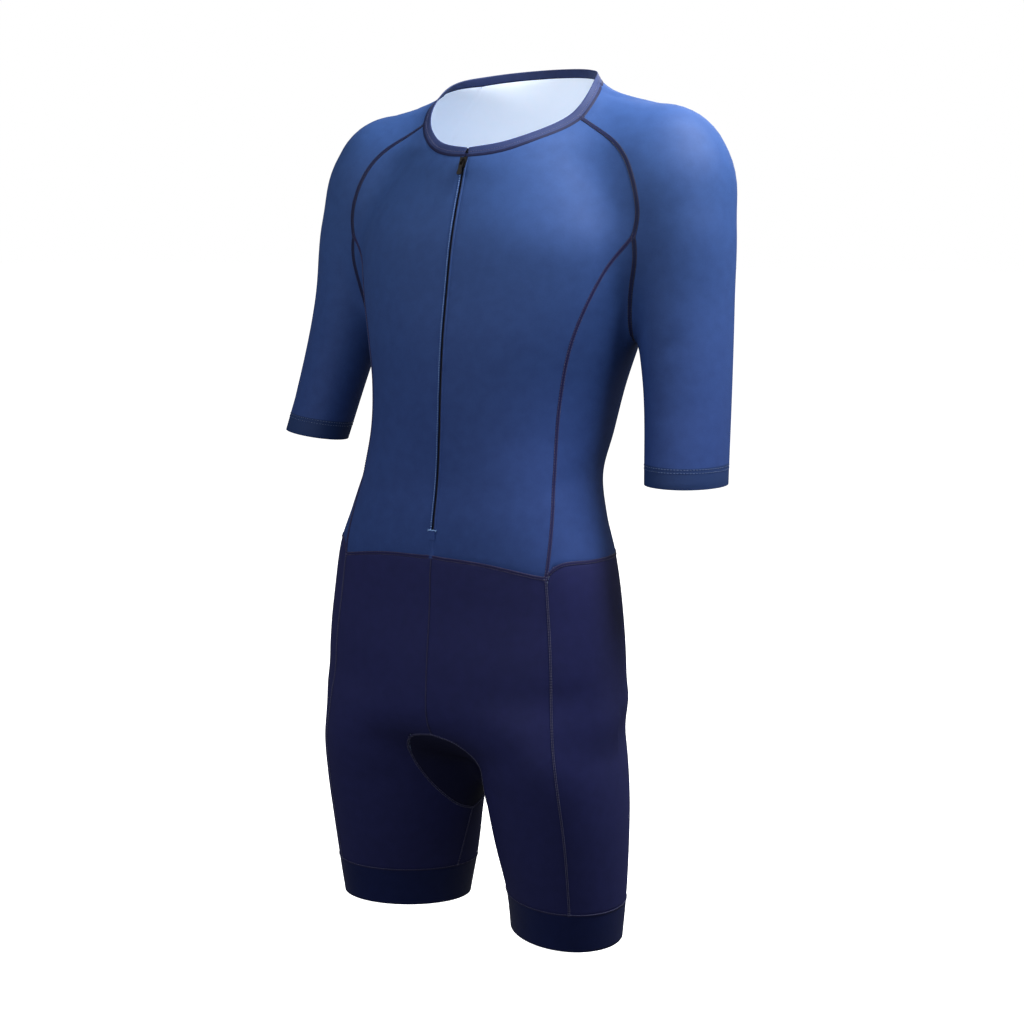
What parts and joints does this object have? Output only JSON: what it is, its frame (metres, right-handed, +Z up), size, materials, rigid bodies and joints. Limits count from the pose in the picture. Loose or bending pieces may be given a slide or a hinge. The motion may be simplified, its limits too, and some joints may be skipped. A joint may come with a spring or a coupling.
{
  "type": "triathlon suit",
  "caption": "Short-sleeved triathlon suit, hollow and filled out as worn, with raglan sleeves, a full front zip, fitted shorts, a seat gusset and elastic thigh bands.",
  "frame": {"origin": "middle of the neck opening at the height of the shoulders, where a wearer holds the suit up", "axes": "+Z up along the standing figure, -Y the front with the zip, +X the wearer's left"},
  "size_m": [0.508, 0.2814, 0.8893],
  "materials": {
    "upper_knit": "smooth knit",
    "shorts_knit": "smooth knit",
    "gripper_band": "satin elastic",
    "binding": "knit binding",
    "zip_tape": "woven tape",
    "zip_coil": "moulded",
    "zip_metal": "satin"
  },
  "bodies": {
    "suit": {"front_left": "upper_knit", "front_right": "upper_knit", "back": "upper_knit", "sleeve_left": "upper_knit", "sleeve_right": "upper_knit", "neck_binding": "binding", "shorts_front_left": "shorts_knit", "shorts_front_right": "shorts_knit", "shorts_back_left": "shorts_knit", "shorts_back_right": "shorts_knit", "crotch_gusset": "shorts_knit", "leg_band_left": "gripper_band", "leg_band_right": "gripper_band", "zip_tape": "zip_tape", "zip_coil": "zip_coil", "zip_stop": "binding", "zip_slider": "zip_metal"},
    "pull": {"zip_pull": "zip_metal"}
  },
  "joints": [
    {"name": "pull_hinge", "type": "hinge", "parent": "suit", "child": "pull", "pos_m": [0, -0.09801, -0.08508], "axis": [-1, 0, 0], "range_deg": [0, 150]}
  ]
}
